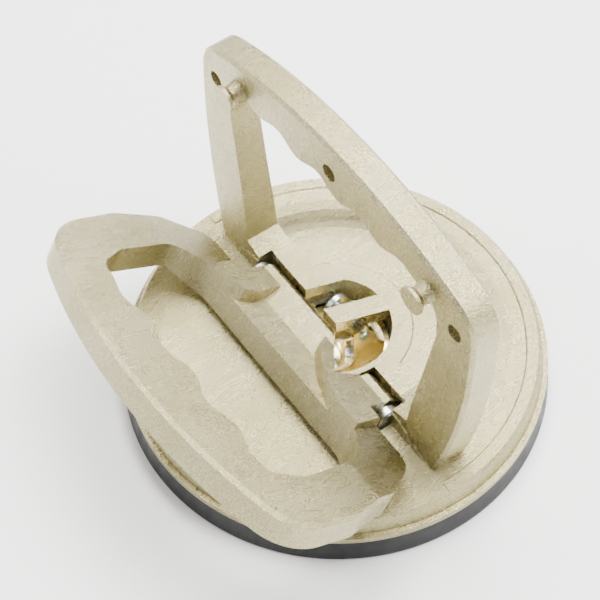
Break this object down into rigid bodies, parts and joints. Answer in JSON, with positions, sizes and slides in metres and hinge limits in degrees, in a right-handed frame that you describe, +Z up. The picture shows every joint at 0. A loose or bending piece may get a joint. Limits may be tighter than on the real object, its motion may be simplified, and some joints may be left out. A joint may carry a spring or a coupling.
{
  "type": "floor tile suction lifter",
  "caption": "Hand suction lifter: rubber pad under a round cast base with an upright loop handle; a folding loop lever squeezed towards it draws the pad's middle up.",
  "frame": {"origin": "centre of the rubber pad's lip, on the plane of the tile", "axes": "+Z up, out of the tile; X along the hinge of the lever, +X to the right when the lever lies towards the user; -Y towards the lying lever, +Y behind the upright handle"},
  "size_m": [0.12, 0.1267, 0.0988],
  "materials": {
    "satin_nickel": "satin plated die casting with a fine grain",
    "zinc_steel": "bright zinc plated",
    "yellow_zinc": "yellow zinc plated",
    "blue_zinc": "blue zinc plated",
    "black_rubber": "smooth moulded rubber"
  },
  "bodies": {
    "base": {"base_casting": "satin_nickel", "upright_handle": "satin_nickel", "guide_insert": "satin_nickel", "stop_stud_right": "satin_nickel", "stop_stud_left": "satin_nickel", "suction_pad": "black_rubber"},
    "plunger": {"lift_yoke": "zinc_steel", "lift_cup": "yellow_zinc", "cross_fork": "yellow_zinc", "cross_pin": "blue_zinc", "fork_rivets": "zinc_steel", "hinge_pin_right": "zinc_steel", "hinge_pin_left": "zinc_steel"},
    "lever": {"lever_handle": "satin_nickel"}
  },
  "joints": [
    {"name": "plunger_lift", "type": "slide", "parent": "base", "child": "plunger", "axis": [0, 0, 1], "range_m": [0, 0.0038]},
    {"name": "lever_hinge", "type": "hinge", "parent": "plunger", "child": "lever", "pos_m": [0, -0.005, 0.017], "axis": [-1, 0, 0], "range_deg": [0, 52]}
  ],
  "couplings": [
    {"joint": "plunger_lift", "follows": "lever_hinge", "m_per_rad": 0.00418}
  ]
}
